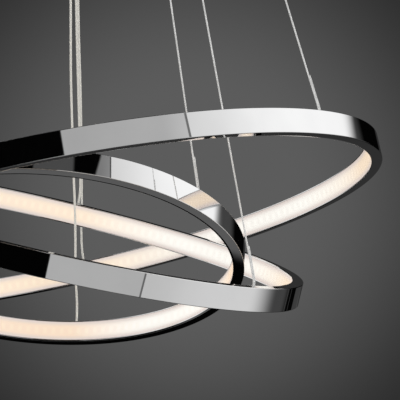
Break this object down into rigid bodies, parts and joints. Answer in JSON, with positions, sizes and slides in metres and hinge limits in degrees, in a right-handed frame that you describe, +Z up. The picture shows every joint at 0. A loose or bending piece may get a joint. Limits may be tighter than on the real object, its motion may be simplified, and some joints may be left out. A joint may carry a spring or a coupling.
{
  "type": "ring chandelier",
  "caption": "Hanging light of nested tilted chrome rings, each with an opal light band inside, on steel ropes and clear supply cords from a round ceiling canopy.",
  "frame": {"origin": "centre of the canopy's ceiling face", "axes": "+Z up into the ceiling; +X to the right and +Y away as the picture is seen"},
  "size_m": [0.5908, 0.5936, 0.9269],
  "materials": {
    "canopy_chrome": "polished chrome plate on spun steel",
    "ring_chrome": "rolled aluminium, mirror polished and chrome plated",
    "zinc_steel": "zinc plated pressed steel",
    "screw_steel": "zinc plated",
    "spring_steel": "drawn spring wire",
    "rope_steel": "stranded bright steel rope",
    "brass": "turned",
    "white_plastic": "moulded, fine grain",
    "terminal_plastic": "moulded",
    "board": "solder-masked board",
    "white_lead": "round sheathed lead",
    "clear_cord": "clear sheath over two bright cores",
    "clear_bushing": "clear moulded",
    "opal": "opal, evenly lit warm white",
    "led_strip": "flexible board with close rows of light chips"
  },
  "bodies": {
    "canopy": {"ceiling_plate": "zinc_steel", "canopy_cover": "canopy_chrome", "cover_screws": "screw_steel", "driver_case": "white_plastic", "driver_lid": "white_plastic", "driver_board": "board", "driver_screws": "screw_steel", "terminal_block": "terminal_plastic", "terminal_screws": "brass", "earth_screw": "brass", "input_lead": "white_lead", "output_leads": "clear_cord", "cord_glands": "canopy_chrome", "gland_nuts": "screw_steel", "gripper_bodies": "canopy_chrome", "gripper_noses": "canopy_chrome", "gripper_nuts": "screw_steel", "outer_sleeve_spring_a": "spring_steel", "outer_sleeve_spring_b": "spring_steel", "middle_sleeve_spring_a": "spring_steel", "middle_sleeve_spring_b": "spring_steel", "inner_sleeve_spring_a": "spring_steel", "inner_sleeve_spring_b": "spring_steel"},
    "outer_release_a": {"outer_release_sleeve_a": "canopy_chrome"},
    "outer_release_b": {"outer_release_sleeve_b": "canopy_chrome"},
    "outer_ring": {"outer_channel": "ring_chrome", "outer_diffuser": "opal", "outer_led_strip": "led_strip", "outer_splice_plate": "screw_steel", "outer_rope_clamps": "brass", "outer_clamp_screws": "screw_steel", "outer_cord_bushing": "clear_bushing", "outer_supply_cord": "clear_cord", "outer_rope_a": "rope_steel", "outer_rope_b": "rope_steel"},
    "middle_release_a": {"middle_release_sleeve_a": "canopy_chrome"},
    "middle_release_b": {"middle_release_sleeve_b": "canopy_chrome"},
    "middle_ring": {"middle_channel": "ring_chrome", "middle_diffuser": "opal", "middle_led_strip": "led_strip", "middle_splice_plate": "screw_steel", "middle_rope_clamps": "brass", "middle_clamp_screws": "screw_steel", "middle_cord_bushing": "clear_bushing", "middle_supply_cord": "clear_cord", "middle_rope_a": "rope_steel", "middle_rope_b": "rope_steel"},
    "inner_release_a": {"inner_release_sleeve_a": "canopy_chrome"},
    "inner_release_b": {"inner_release_sleeve_b": "canopy_chrome"},
    "inner_ring": {"inner_channel": "ring_chrome", "inner_diffuser": "opal", "inner_led_strip": "led_strip", "inner_splice_plate": "screw_steel", "inner_rope_clamps": "brass", "inner_clamp_screws": "screw_steel", "inner_cord_bushing": "clear_bushing", "inner_supply_cord": "clear_cord", "inner_rope_a": "rope_steel", "inner_rope_b": "rope_steel"}
  },
  "joints": [
    {"name": "outer_ring_height", "type": "slide", "parent": "canopy", "child": "outer_ring", "axis": [0, 0, 1], "range_m": [-0.05, 0.2], "deforming": ["outer_rope_a", "outer_rope_b", "outer_supply_cord"]},
    {"name": "outer_release_a_push", "type": "slide", "parent": "canopy", "child": "outer_release_a", "axis": [0, 0, 1], "range_m": [0, 0.0025], "stiffness_N_per_m": 600, "springref_m": -0.0015, "deforming": ["outer_sleeve_spring_a"]},
    {"name": "outer_release_b_push", "type": "slide", "parent": "canopy", "child": "outer_release_b", "axis": [0, 0, 1], "range_m": [0, 0.0025], "stiffness_N_per_m": 600, "springref_m": -0.0015, "deforming": ["outer_sleeve_spring_b"]},
    {"name": "middle_ring_height", "type": "slide", "parent": "canopy", "child": "middle_ring", "axis": [0, 0, 1], "range_m": [-0.1, 0.05], "deforming": ["middle_rope_a", "middle_rope_b", "middle_supply_cord"]},
    {"name": "middle_release_a_push", "type": "slide", "parent": "canopy", "child": "middle_release_a", "axis": [0, 0, 1], "range_m": [0, 0.0025], "stiffness_N_per_m": 600, "springref_m": -0.0015, "deforming": ["middle_sleeve_spring_a"]},
    {"name": "middle_release_b_push", "type": "slide", "parent": "canopy", "child": "middle_release_b", "axis": [0, 0, 1], "range_m": [0, 0.0025], "stiffness_N_per_m": 600, "springref_m": -0.0015, "deforming": ["middle_sleeve_spring_b"]},
    {"name": "inner_ring_height", "type": "slide", "parent": "canopy", "child": "inner_ring", "axis": [0, 0, 1], "range_m": [-0.1, 0.08], "deforming": ["inner_rope_a", "inner_rope_b", "inner_supply_cord"]},
    {"name": "inner_release_a_push", "type": "slide", "parent": "canopy", "child": "inner_release_a", "axis": [0, 0, 1], "range_m": [0, 0.0025], "stiffness_N_per_m": 600, "springref_m": -0.0015, "deforming": ["inner_sleeve_spring_a"]},
    {"name": "inner_release_b_push", "type": "slide", "parent": "canopy", "child": "inner_release_b", "axis": [0, 0, 1], "range_m": [0, 0.0025], "stiffness_N_per_m": 600, "springref_m": -0.0015, "deforming": ["inner_sleeve_spring_b"]}
  ]
}
